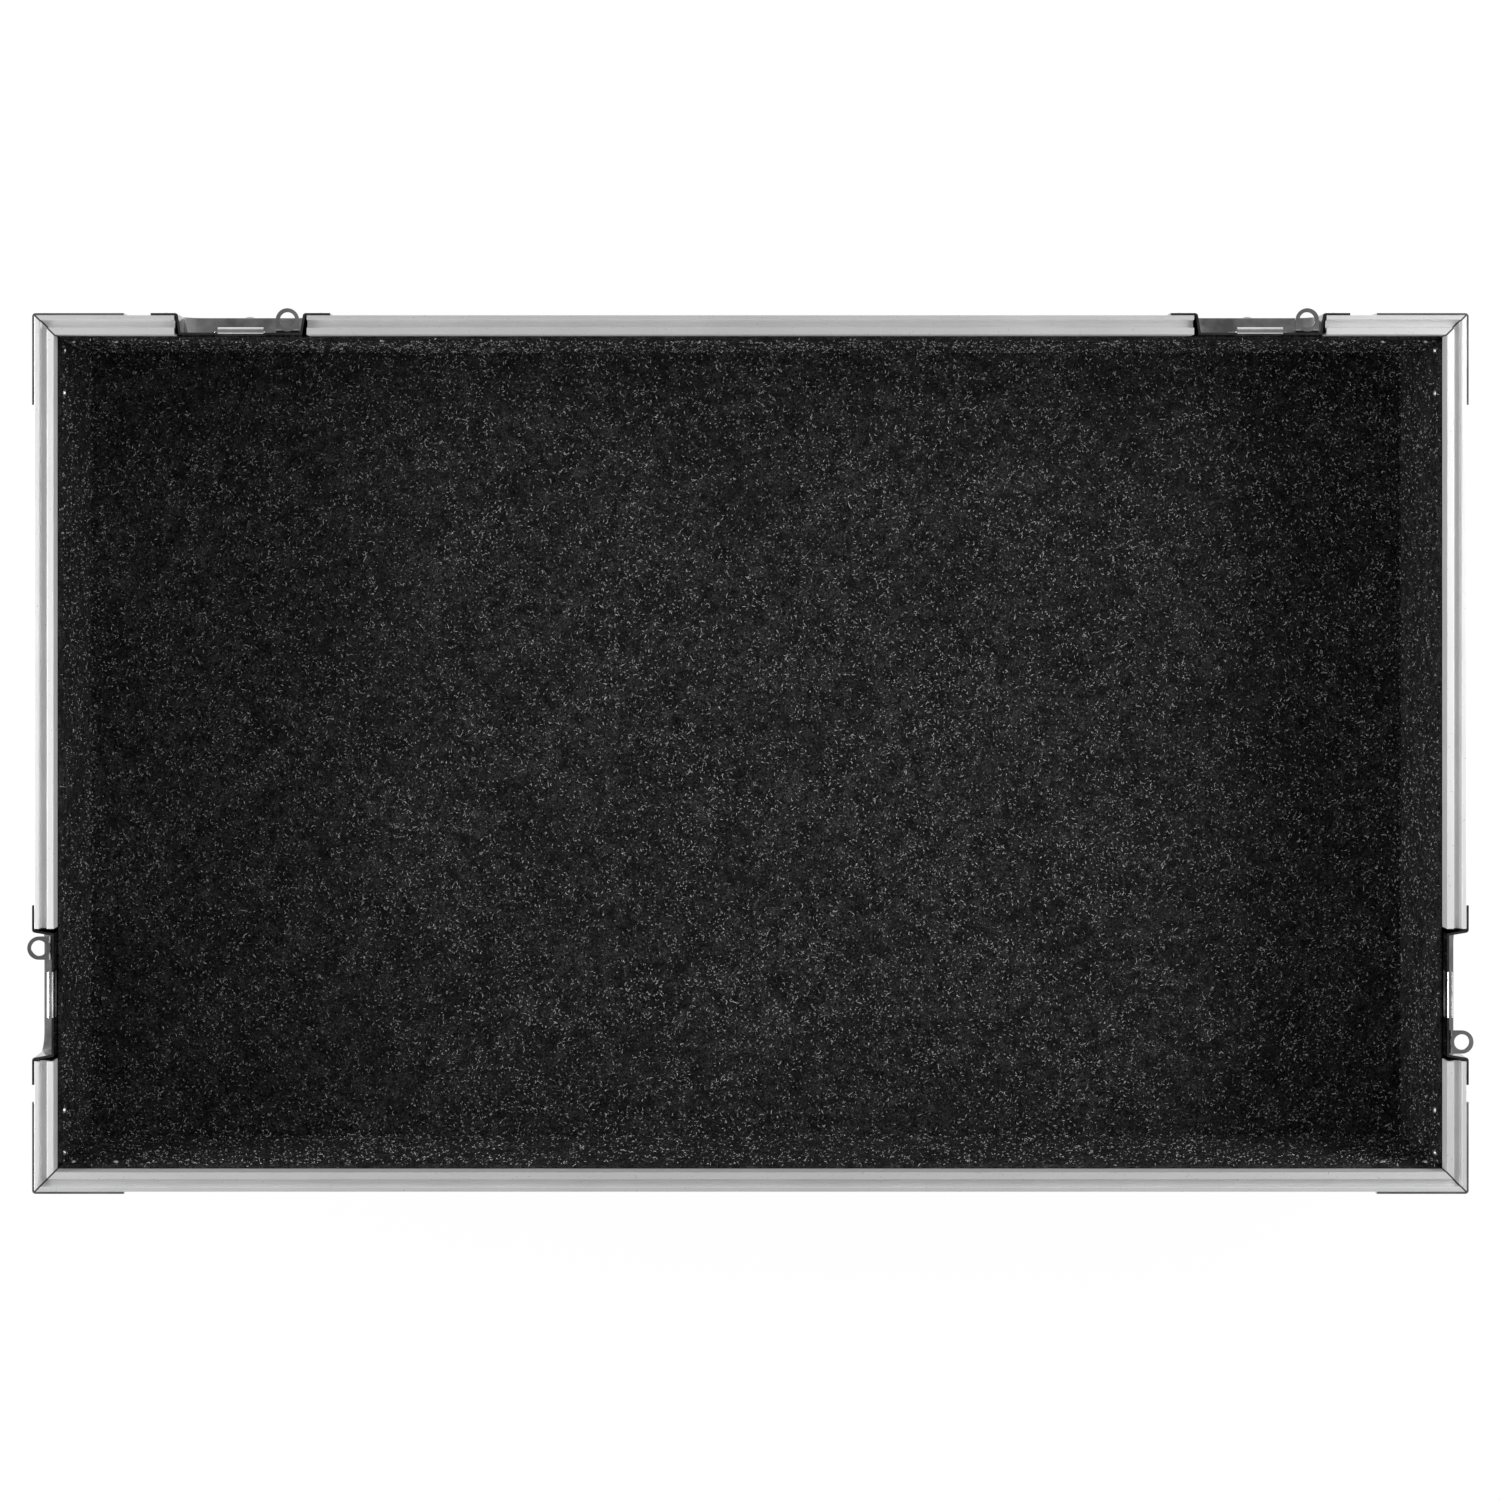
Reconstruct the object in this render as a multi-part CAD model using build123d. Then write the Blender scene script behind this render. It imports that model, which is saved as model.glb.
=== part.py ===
from build123d import *
import os

# One half of a flight case for a DJ controller: a shallow tray of laminated plywood
# between aluminium extrusions, lined with black needled carpet, lying open side up.
# Its four latch dishes hold the fixed half of a butterfly latch and a padlock eye.
# All lengths are in millimetres. +Z is up, +Y is the long side with two latches.

# Shell, over the outer faces of the extrusions
case_length = 830.0
case_width = 508.0
shell_height = 127.0
panel_thickness = 9.0
sheet = 1.15
fit_gap = 0.1

# Rim extrusion: a grooved rail that caps the walls
outer_leg = 28.0
inner_leg = 12.0
groove_edge = 2.6
groove_width = 4.8
groove_floor_width = 3.6
groove_depth = 4.2
mitre_gap = 0.4
rail_corner_radius = 0.5
rail_lip_radius = 0.3
groove_floor_radius = 0.6

# Double angle extrusion along the closed face and up the four corners
angle_leg = 30.0
slot_leg = 11.0
angle_corner_radius = 2.0

# Carpet lining
carpet_thickness = 3.5
carpet_floor_thickness = 3.5

# Latch dishes: how far they stand from the braces, and how they are pressed
brace_to_dish_on_long_side = 15.5
brace_to_dish_on_short_side = 10.0
dish_sheet = 1.2
dish_plate_width = 104.0
dish_plate_height = 50.0
dish_corner_radius = 6.0
plate_over_rail = 13.6
recess_end_clearance = 0.8
recess_height = 36.0
recess_corner_radius = 12.0
recess_end_slope = 1.9
recess_floor_slope = 9.0
dish_back_depth = 10.1
mouth_radius = 1.8

# Keeper: the rolled hook that the latch's twisting blade pulls on
keeper_to_eye = 3.45
keeper_shoulder = 3.75
keeper_base_height = 22.0
keeper_roll_radius = 1.6
keeper_lip = 4.2
keeper_joggle_top = 5.5
keeper_joggle_bottom = 8.5
keeper_drop = 0.2

# Padlock eye: a tab bent outwards beside the keeper
eye_side_clearance = 0.55
eye_width = 13.5
eye_hole_radius = 4.5
eye_thickness = 1.5
eye_reach = 4.0
eye_base_height = 18.0
eye_bend_radius = 2.2
eye_drop = 0.2

# Corner brace at each corner of the rim
brace_leg = 52.0
brace_height = 27.0
brace_sheet = 1.2
brace_corner_radius = 2.0
brace_end_radius = 9.0
brace_drop = 0.3

# Ball corner at each corner of the closed face
ball_radius = 20.0
ball_proud = 6.5
ball_sheet = 1.3
ball_lobe = 52.0
ball_lobe_radius = 24.0

# Rivets
rivet_shank_radius = 1.6
rivet_head_radius = 3.6
rivet_head_height = 1.3
rivet_tail_radius = 2.4
rivet_tail_height = 1.1
rivet_clearance = 0.1
brace_rivet_near = 19.0
brace_rivet_end = 8.0
brace_rivet_drop = 20.0
dish_rivet_drop = 14.5
dish_rivet_end = 7.0
dish_rivet_foot = 6.5
ball_rivet_end = 10.0
ball_rivet_across = 16.0

# Heights measured up from the lowest point of the ball corners
closed_face_z = ball_proud
rim_z = closed_face_z + shell_height

# Depths measured inwards from the outer face of the extrusions
panel_outer = sheet
panel_inner = panel_outer + panel_thickness
leg_inner = panel_inner + sheet
carpet_inner = panel_inner + carpet_thickness
carpet_floor_z = closed_face_z + panel_inner + sheet + carpet_floor_thickness
groove_floor_underside = groove_depth + sheet
rail_gap = dish_plate_width - 2 * plate_over_rail
recess_half_mouth = rail_gap / 2 - recess_end_clearance - dish_sheet
half_length = case_length / 2
half_width = case_width / 2

# Distances from the corners of the case to the latches and to the outer rivets
brace_to_dish_centre = brace_leg + dish_plate_width / 2
dish_x_on_long_side = half_length - brace_to_dish_on_long_side - brace_to_dish_centre
dish_y_on_short_side = half_width - brace_to_dish_on_short_side - brace_to_dish_centre
dish_rivet_x = dish_plate_width / 2 - dish_rivet_end
brace_rivet_far = brace_leg - brace_rivet_end
ball_rivet_along = ball_lobe - ball_rivet_end
eye_side = recess_half_mouth - recess_end_slope - eye_side_clearance
eye_offset = eye_side - eye_width / 2
keeper_base_width = 2 * (eye_side - eye_width - keeper_to_eye)
keeper_width = keeper_base_width - 2 * keeper_shoulder

# NEAR tells two places apart; cutting tools run PAST or BEYOND the faces they cut
NEAR = 0.01
PAST = 1.0
BEYOND = 60.0

# Each wall: the way it faces, half its length, and how far it stands from the middle
walls = {
    "back": ((0, 1), half_length, half_width),
    "front": ((0, -1), half_length, half_width),
    "left": ((-1, 0), half_width, half_length),
    "right": ((1, 0), half_width, half_length),
}

# Each latch: its wall and the place of its centre along that wall, in the wall's frame
latches = {
    "back_left": ("back", dish_x_on_long_side),
    "back_right": ("back", -dish_x_on_long_side),
    "left": ("left", dish_y_on_short_side),
    "right": ("right", -dish_y_on_short_side),
}

# Each corner: the signs of its X and Y
corners = {
    "back_right": (1, 1),
    "back_left": (-1, 1),
    "front_left": (-1, -1),
    "front_right": (1, -1),
}

os.makedirs("parts", exist_ok=True)


def place_on(wall, shape, along=0.0):
    """Moves a shape from a wall's frame to the wall. The frame lies on the outer face at
    rim height: X along the wall, to the right as seen from outside, Y inwards and Z up."""
    (x, y), _, reach = walls[wall]
    normal = Vector(x, y, 0)
    right = (normal * -1).cross(Vector(0, 0, 1))
    centre = normal * reach + right * along + Vector(0, 0, rim_z)
    return Plane(origin=centre, x_dir=right, z_dir=(0, 0, 1)).location * shape


def half_of(wall):
    return walls[wall][1]


def to_corner(name, shape):
    """Moves a shape made at the origin, in the quarter x > 0 and y > 0 that points out of
    the case, to a corner at rim height."""
    sign_x, sign_y = corners[name]
    moved = Pos(half_length, half_width, rim_z) * shape
    if sign_x < 0:
        moved = mirror(moved, about=Plane.YZ)
    if sign_y < 0:
        moved = mirror(moved, about=Plane.XZ)
    return moved


def box_between(low, high):
    size = [h - l for l, h in zip(low, high)]
    centre = [(l + h) / 2 for l, h in zip(low, high)]
    return Pos(*centre) * Box(*size)


def mitred(shape, half, gap):
    """Cuts both ends of a length of extrusion at 45 degrees about vertical planes."""
    for side in (1, -1):
        reach = half - gap
        wedge = Polyline(
            (side * (reach + BEYOND), -BEYOND),
            (side * (reach + BEYOND), BEYOND),
            (side * (reach - BEYOND), BEYOND),
            close=True,
        )
        prism = extrude(make_face(wedge), 2 * (shell_height + BEYOND), both=True)
        shape -= prism
    return shape


def drill(radius, depth_from, depth_to, x, z):
    """Round hole or pin along the inward direction of a wall's frame."""
    length = depth_to - depth_from
    return Pos(x, (depth_from + depth_to) / 2, z) * Rot(90, 0, 0) * Cylinder(radius, length)


def rivet(seat, reach, tail=0.0):
    """Rivet along the inward direction: domed head on the seat, shank, and an upset tail
    where it shows inside."""
    crown = (0, seat - rivet_head_height)
    dome = TangentArc(crown, (rivet_head_radius, seat), tangent=(1, 0))
    profile = [
        (rivet_head_radius, seat),
        (rivet_shank_radius, seat),
        (rivet_shank_radius, reach),
    ]
    if tail:
        profile += [(rivet_tail_radius, reach), (rivet_shank_radius, reach + tail)]
    profile += [(0, reach + tail), crown]
    return revolve(make_face([dome, Polyline(*profile)]), Axis.Y)


# Rivets of the wall faces, each as wall, place along it and height below the rim
def brace_rivet_spots():
    for wall in walls:
        for distance in (brace_rivet_near, brace_rivet_far):
            for side in (1, -1):
                yield wall, side * (half_of(wall) - distance), -brace_rivet_drop


def spots_on_dish():
    yield dish_rivet_x, -dish_rivet_drop
    yield -dish_rivet_x, -dish_rivet_drop
    yield 0, -dish_plate_height + dish_rivet_foot


def dish_rivet_spots():
    for wall, centre in latches.values():
        for x, z in spots_on_dish():
            yield wall, centre + x, z


def ball_side_spots():
    drop = -shell_height + ball_rivet_across
    for wall in walls:
        for side in (1, -1):
            yield wall, side * (half_of(wall) - ball_rivet_along), drop


spots_of = {
    "brace": list(brace_rivet_spots()),
    "dish": list(dish_rivet_spots()),
    "ball": list(ball_side_spots()),
}


def holes_in(wall, kinds, depth_from, depth_to):
    """All rivet holes of some kinds through one wall, in that wall's frame."""
    radius = rivet_shank_radius + rivet_clearance
    return [
        drill(radius, depth_from, depth_to, x, z)
        for kind in kinds
        for on, x, z in spots_of[kind]
        if on == wall
    ]


def cut_all(shape, tools):
    return shape - tools if tools else shape


# Rim rails
def rim_section():
    floor_start = groove_edge + (groove_width - groove_floor_width) / 2
    floor_end = floor_start + groove_floor_width
    groove_end = groove_edge + groove_width
    outline = [
        (0, 0),
        (groove_edge, 0),
        (floor_start, -groove_depth),
        (floor_end, -groove_depth),
        (groove_end, 0),
        (leg_inner, 0),
        (leg_inner, -inner_leg),
        (panel_inner, -inner_leg),
        (panel_inner, -sheet),
        (groove_end + sheet, -sheet),
        (floor_end + sheet, -groove_floor_underside),
        (panel_outer, -groove_floor_underside),
        (panel_outer, -outer_leg),
        (0, -outer_leg),
    ]
    face = make_face(Polyline(*outline, close=True))
    crest = face.vertices().filter_by(lambda v: v.Y > -NEAR and v.X > NEAR)
    face = fillet(crest, rail_lip_radius)
    floor = face.vertices().filter_by(lambda v: abs(v.Y + groove_depth) < NEAR)
    face = fillet(floor, groove_floor_radius)
    corner = face.vertices().filter_by(lambda v: v.Y > -NEAR and v.X < NEAR)
    face = fillet(corner, rail_corner_radius)
    return Plane.YZ.location * face


def rim_rail(wall, start, end):
    """Rail from start to end along a wall; an end at a corner of the case is mitred."""
    rail = extrude(Pos(start, 0, 0) * rim_section(), end - start, dir=(1, 0, 0))
    rail = mitred(rail, half_of(wall), mitre_gap / 2)
    holes = [
        hole
        for hole in holes_in(wall, ("brace", "dish"), -PAST, panel_inner)
        if start < hole.center().X < end and hole.center().Z > -outer_leg
    ]
    return cut_all(rail, holes)


def rail_spans(wall):
    """The stretches of rail between the corners and the latch dishes of a wall."""
    centres = sorted(centre for on, centre in latches.values() if on == wall)
    edges = [-half_of(wall)]
    for centre in centres:
        edges += [centre - rail_gap / 2, centre + rail_gap / 2]
    edges.append(half_of(wall))
    return list(zip(edges[::2], edges[1::2]))


# Laminated plywood panels
def dish_cutout(centre):
    """The notch in a wall that lets the pressed recess of a dish through."""
    half = rail_gap / 2 + fit_gap
    depth = recess_height + dish_sheet + fit_gap
    notch = box_between((-half, 0, -depth), (half, panel_inner + BEYOND, BEYOND))
    lower = notch.edges().filter_by(Axis.Y).group_by(Axis.Z)[0]
    return Pos(centre, 0, 0) * fillet(lower, recess_corner_radius)


def wall_panel(wall):
    long_side = wall in ("back", "front")
    end = half_of(wall) - (panel_outer if long_side else leg_inner)
    low = -shell_height + leg_inner
    panel = box_between(
        (-end, panel_outer, low), (end, panel_inner, -groove_floor_underside)
    )
    for on, centre in latches.values():
        if on == wall:
            panel -= dish_cutout(centre)
    kinds = ("brace", "dish", "ball")
    return cut_all(panel, holes_in(wall, kinds, 0, panel_inner + PAST))


def base_panel():
    x = half_length - panel_outer
    y = half_width - panel_outer
    low = closed_face_z + panel_outer
    panel = box_between((-x, -y, low), (x, y, low + panel_thickness))
    corner_cuts = [to_corner(name, ball_clearance()) for name in corners]
    return cut_all(panel, corner_cuts + base_rivet_holes())


# Double angle extrusions
def angle_section():
    """Outer angle with an inner leg and a web that make one slot for each panel."""
    slot_end = leg_inner + slot_leg
    outline = [
        (0, 0),
        (angle_leg, 0),
        (angle_leg, sheet),
        (sheet, sheet),
        (sheet, panel_inner),
        (slot_end, panel_inner),
        (slot_end, leg_inner),
        (leg_inner, leg_inner),
        (leg_inner, slot_end),
        (panel_inner, slot_end),
        (panel_inner, leg_inner),
        (sheet, leg_inner),
        (sheet, angle_leg),
        (0, angle_leg),
    ]
    face = make_face(Polyline(*outline, close=True))
    corner = face.vertices().sort_by(lambda v: v.X + v.Y)[0]
    return fillet(corner, angle_corner_radius)


def ball_clearance():
    """What the ball corner's bulge cuts off at a closed-face corner."""
    centre = ball_radius - ball_proud
    inner = ball_radius - ball_sheet - fit_gap
    ball = Pos(-centre, -centre, centre) * Sphere(inner)
    block = box_between((-centre, -centre, 0), (0, 0, centre))
    return Pos(0, 0, -shell_height) * (block - ball)


def base_edge(wall):
    """Double angle along one edge of the closed face, mitred at both ends."""
    half = half_of(wall)
    profile = Plane.YZ.location * angle_section()
    edge = extrude(Pos(-half, 0, 0) * profile, 2 * half, dir=(1, 0, 0))
    edge = Pos(0, 0, -shell_height) * mitred(edge, half, mitre_gap / 2)
    edge = cut_all(edge, holes_in(wall, ("ball",), -PAST, panel_outer + fit_gap))
    corner_cuts = [to_corner(name, ball_clearance()) for name in corners]
    return cut_all(place_on(wall, edge), corner_cuts + base_rivet_holes())


def corner_angle():
    """Vertical corner extrusion between the base edges and the rim rails."""
    length = shell_height - angle_leg - outer_leg - 2 * fit_gap
    face = mirror(mirror(angle_section(), about=Plane.YZ), about=Plane.XZ)
    return Pos(0, 0, -outer_leg - fit_gap - length) * extrude(face, length)


# Carpet lining
def wall_carpet(wall):
    """Lining of one wall: full thickness between the extrusions' legs, thinner over the
    lower leg, with pockets for the backs of the dishes."""
    half = half_of(wall)
    long_side = wall in ("back", "front")
    end = half - (leg_inner + fit_gap if long_side else carpet_inner + fit_gap)
    top = -inner_leg - fit_gap
    floor = carpet_floor_z - rim_z + fit_gap
    leg_top = -shell_height + leg_inner + slot_leg + fit_gap
    lining = box_between((-end, leg_inner + fit_gap, floor), (end, carpet_inner, top))
    lining += box_between((-end, panel_inner, leg_top), (end, carpet_inner, top))
    for on, centre in latches.values():
        if on == wall:
            share = panel_inner / (dish_back_depth + dish_sheet)
            half_back = recess_half_mouth + dish_sheet - share * recess_end_slope
            low = -recess_height - dish_sheet + share * recess_floor_slope
            lining -= Pos(centre, 0, 0) * box_between(
                (-half_back - fit_gap, 0, low - fit_gap),
                (half_back + fit_gap, dish_back_depth + dish_sheet + fit_gap, 0),
            )
    corner_post = half - leg_inner - slot_leg - fit_gap
    for side in (1, -1):
        x = sorted((side * corner_post, side * (half + PAST)))
        lining -= box_between((x[0], 0, -shell_height), (x[1], leg_inner + fit_gap, 0))
    return cut_all(lining, holes_in(wall, ("brace",), 0, carpet_inner + PAST))


def floor_carpet():
    """Lining of the floor: it lies on the base panel and over the extrusions' legs."""
    x = half_length - leg_inner - fit_gap
    y = half_width - leg_inner - fit_gap
    low = closed_face_z + leg_inner
    lining = box_between((-x, -y, low), (x, y, carpet_floor_z))
    x_in = half_length - leg_inner - slot_leg - fit_gap
    y_in = half_width - leg_inner - slot_leg - fit_gap
    lining += box_between((-x_in, -y_in, low - sheet), (x_in, y_in, carpet_floor_z))
    return lining


# Latch dishes
def recess_body(grow, depth):
    """Tapered recess, widest at its mouth, as one lofted block that runs above the rim."""
    mouth = Rectangle(2 * (recess_half_mouth + grow), 2 * (recess_height + grow))
    back = Rectangle(
        2 * (recess_half_mouth - recess_end_slope + grow),
        2 * (recess_height - recess_floor_slope + grow),
    )
    mouth = fillet(mouth.vertices(), recess_corner_radius - dish_sheet + grow)
    back = fillet(back.vertices(), recess_corner_radius - recess_end_slope + grow)
    outer = Plane((0, -dish_sheet + grow, 0), x_dir=(1, 0, 0), z_dir=(0, 1, 0))
    inner = Plane((0, depth, 0), x_dir=(1, 0, 0), z_dir=(0, 1, 0))
    return loft([outer * mouth, inner * back], ruled=True)


def latch_dish():
    """Flat flange outside the wall, pressed inwards to a recess that is open at the rim."""
    flange = Rectangle(dish_plate_width, 2 * dish_plate_height)
    flange = fillet(flange.vertices(), dish_corner_radius)
    front = Plane((0, -dish_sheet, 0), x_dir=(1, 0, 0), z_dir=(0, 1, 0))
    plate = extrude(front * flange, dish_sheet)
    dish = plate + recess_body(dish_sheet, dish_back_depth + dish_sheet)
    dish -= recess_body(0, dish_back_depth)
    mouth = dish.edges().filter_by(
        lambda e: abs(e.center().Y + dish_sheet) < NEAR
        and abs(e.center().X) < recess_half_mouth + NEAR
        and abs(e.center().Z) < recess_height + NEAR
    )
    dish = fillet(mouth, mouth_radius)
    beside = dish_plate_width / 2 + PAST
    dish -= box_between((-beside, -BEYOND, 0), (beside, BEYOND, dish_plate_height + PAST))
    half_notch = keeper_width / 2 + fit_gap
    dish -= box_between(
        (-half_notch, dish_back_depth - fit_gap, -keeper_joggle_bottom - fit_gap),
        (half_notch, dish_back_depth + dish_sheet + PAST, PAST),
    )
    radius = rivet_shank_radius + rivet_clearance
    holes = [drill(radius, -dish_sheet - PAST, PAST, x, z) for x, z in spots_on_dish()]
    return cut_all(dish, holes)


def bent_strip(points, radii, thickness, width):
    """Strip of sheet bent about lines along the wall, from the middle line of its section."""
    line = FilletPolyline(*points, radius=radii)
    ribbon = trace(line, thickness)
    return extrude(Plane.YZ.location * ribbon, width / 2, both=True)


def keeper():
    """Base plate on the dish's back, stepping back through a notch in it and rising to a
    hook that is rolled outwards."""
    half = dish_sheet / 2
    base_line = dish_back_depth - half
    hook_line = dish_back_depth + half
    top = -keeper_drop - half
    lip = hook_line - 2 * keeper_roll_radius
    hook = bent_strip(
        [
            (base_line, -keeper_base_height),
            (base_line, -keeper_joggle_bottom),
            (hook_line, -keeper_joggle_top),
            (hook_line, top),
            (lip, top),
            (lip, top - keeper_lip),
        ],
        [half, half, keeper_roll_radius - NEAR, keeper_roll_radius - NEAR],
        dish_sheet,
        keeper_width,
    )
    base = box_between(
        (-keeper_base_width / 2, dish_back_depth - dish_sheet, -keeper_base_height),
        (keeper_base_width / 2, dish_back_depth, -keeper_joggle_bottom - dish_sheet),
    )
    ends = base.edges().filter_by(Axis.Y)
    return hook + fillet(ends, dish_sheet)


def padlock_eye():
    """Tab bent outwards at rim height, with a round end and a hole for a shackle."""
    half = eye_thickness / 2
    face = dish_back_depth - half
    top = -eye_drop - half
    centre = -eye_reach + eye_width / 2
    tab = bent_strip(
        [(face, -eye_base_height), (face, top), (centre, top)],
        eye_bend_radius,
        eye_thickness,
        eye_width,
    )
    tip = Pos(0, centre, top) * Cylinder(eye_width / 2, eye_thickness)
    hole = Pos(0, centre, top) * Cylinder(eye_hole_radius, 2 * eye_thickness)
    return Pos(-eye_offset, 0, 0) * (tab + tip - hole)


# Corner braces at the rim
def corner_brace(name):
    """Angle plate wrapped round two outer faces, with rounded lower ends."""
    t = brace_sheet
    outline = Polyline(
        (0, 0), (-brace_leg, 0), (-brace_leg, t), (t, t), (t, -brace_leg), (0, -brace_leg),
        close=True,
    )
    face = make_face(outline)
    bend = face.vertices().sort_by(lambda v: v.X + v.Y)[-1]
    low = -brace_drop - brace_height
    plate = Pos(0, 0, low) * extrude(fillet(bend, brace_corner_radius), brace_height)
    ends = plate.edges().filter_by(
        lambda e: abs(e.length - t) < NEAR
        and e.center().Z < low + NEAR
        and min(e.center().X, e.center().Y) < -brace_leg + NEAR
    )
    placed = to_corner(name, fillet(ends, brace_end_radius))
    holes = [
        place_on(wall, hole)
        for wall in walls
        for hole in holes_in(wall, ("brace",), -2 * t, fit_gap)
    ]
    return cut_all(placed, holes)


# Ball corners at the closed face
def ball_lobes():
    """Flat lobes on the three faces that meet at a corner, each with one rounded corner.
    The case fills x < 0, y < 0 and z > 0."""
    t = ball_sheet
    plate = box_between((-ball_lobe, -ball_lobe, -t), (t, t, 0))
    far = plate.edges().filter_by(Axis.Z).sort_by(lambda e: e.center().X + e.center().Y)[0]
    below = fillet(far, ball_lobe_radius)
    beside = mirror(below, about=Plane((0, 0, 0), x_dir=(0, 1, 0), z_dir=(1, 0, 1)))
    behind = mirror(below, about=Plane((0, 0, 0), x_dir=(1, 0, 0), z_dir=(0, 1, 1)))
    return below + beside + behind


def ball_corner(name):
    """Three riveted lobes and a hollow bulge that stands proud of all three faces."""
    centre = ball_radius - ball_proud
    at_centre = Pos(-centre, -centre, centre)
    tip = box_between((-centre, -centre, -BEYOND), (BEYOND, BEYOND, centre))
    case = box_between((-BEYOND, -BEYOND, 0), (0, 0, BEYOND)) - tip
    bulge = at_centre * Sphere(ball_radius) - case
    piece = (ball_lobes() - tip) + bulge
    piece -= at_centre * Sphere(ball_radius - ball_sheet)
    placed = to_corner(name, Pos(0, 0, -shell_height) * piece)
    holes = base_rivet_holes()
    for wall in walls:
        drilled = holes_in(wall, ("ball",), -2 * ball_sheet, fit_gap)
        holes += [place_on(wall, hole) for hole in drilled]
    return cut_all(placed, holes)


def base_rivet_spots():
    return [
        (
            sign_x * (half_length - ball_rivet_along),
            sign_y * (half_width - ball_rivet_across),
        )
        for sign_x, sign_y in corners.values()
    ]


def base_rivet_holes():
    radius = rivet_shank_radius + rivet_clearance
    height = 2 * (panel_inner + fit_gap)
    return [
        Pos(x, y, closed_face_z) * Cylinder(radius, height) for x, y in base_rivet_spots()
    ]


# Rivets, one node for each kind
def wall_rivets(kind, pin):
    return [place_on(wall, Pos(x, 0, z) * pin) for wall, x, z in spots_of[kind]]


def brace_rivets():
    return wall_rivets("brace", rivet(-brace_sheet, carpet_inner, rivet_tail_height))


def dish_rivets():
    return wall_rivets("dish", rivet(-dish_sheet, panel_inner))


def ball_rivets():
    pin = rivet(-ball_sheet, panel_inner)
    upright = Rot(90, 0, 0) * pin
    base = [Pos(x, y, closed_face_z) * upright for x, y in base_rivet_spots()]
    return wall_rivets("ball", pin) + base


def save(name, shape):
    if isinstance(shape, list):
        shape = Compound(children=shape)
    shape.label = name
    export_step(shape, f"parts/{name}.step")


save("base_panel", base_panel())
save("carpet_floor", floor_carpet())
for wall in walls:
    save(f"wall_panel_{wall}", place_on(wall, wall_panel(wall)))
    save(f"carpet_{wall}", place_on(wall, wall_carpet(wall)))
    save(f"base_edge_{wall}", base_edge(wall))
    spans = rail_spans(wall)
    for number, (start, end) in enumerate(spans, 1):
        name = f"rim_rail_{wall}" if len(spans) == 1 else f"rim_rail_{wall}_{number}"
        save(name, place_on(wall, rim_rail(wall, start, end)))
for name in corners:
    save(f"corner_angle_{name}", to_corner(name, corner_angle()))
    save(f"corner_brace_{name}", corner_brace(name))
    save(f"ball_corner_{name}", ball_corner(name))
for name, (wall, centre) in latches.items():
    save(f"latch_dish_{name}", place_on(wall, latch_dish(), centre))
    save(f"latch_keeper_{name}", place_on(wall, keeper(), centre))
    save(f"padlock_eye_{name}", place_on(wall, padlock_eye(), centre))
save("brace_rivets", brace_rivets())
save("dish_rivets", dish_rivets())
save("ball_corner_rivets", ball_rivets())
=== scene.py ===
from collections import namedtuple
from math import ceil, cos, pi, radians, sin

import bpy
import numpy as np
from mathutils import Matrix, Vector


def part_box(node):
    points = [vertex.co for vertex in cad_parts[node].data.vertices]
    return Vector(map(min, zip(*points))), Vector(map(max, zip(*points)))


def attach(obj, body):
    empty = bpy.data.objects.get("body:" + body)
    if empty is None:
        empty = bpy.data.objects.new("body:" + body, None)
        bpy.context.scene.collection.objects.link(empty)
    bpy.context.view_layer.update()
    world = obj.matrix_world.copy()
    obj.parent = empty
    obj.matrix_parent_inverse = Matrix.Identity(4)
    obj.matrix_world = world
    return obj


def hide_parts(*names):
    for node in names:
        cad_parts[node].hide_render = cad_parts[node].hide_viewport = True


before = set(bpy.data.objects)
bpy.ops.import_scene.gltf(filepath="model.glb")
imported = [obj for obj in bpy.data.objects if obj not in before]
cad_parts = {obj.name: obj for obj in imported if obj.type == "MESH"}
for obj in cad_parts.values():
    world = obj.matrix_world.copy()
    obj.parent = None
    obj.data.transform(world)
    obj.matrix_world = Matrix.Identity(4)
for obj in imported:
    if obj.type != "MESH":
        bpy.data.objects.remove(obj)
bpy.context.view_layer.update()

MM = 0.001
PER_CM2 = 1e4

# The direction that each wall's outer face looks in
facing_of = {"back": (0, 1, 0), "front": (0, -1, 0), "left": (-1, 0, 0), "right": (1, 0, 0)}

# The case as packed: outer faces of the extrusions, rim height and closed face
case_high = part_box("base_edge_back")[1]
half_length = case_high.x
half_width = case_high.y
rim_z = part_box("rim_rail_front")[1].z
closed_face_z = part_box("base_edge_front")[0].z


# Node trees
def grey(value):
    return (value, value, value, 1.0)


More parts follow.
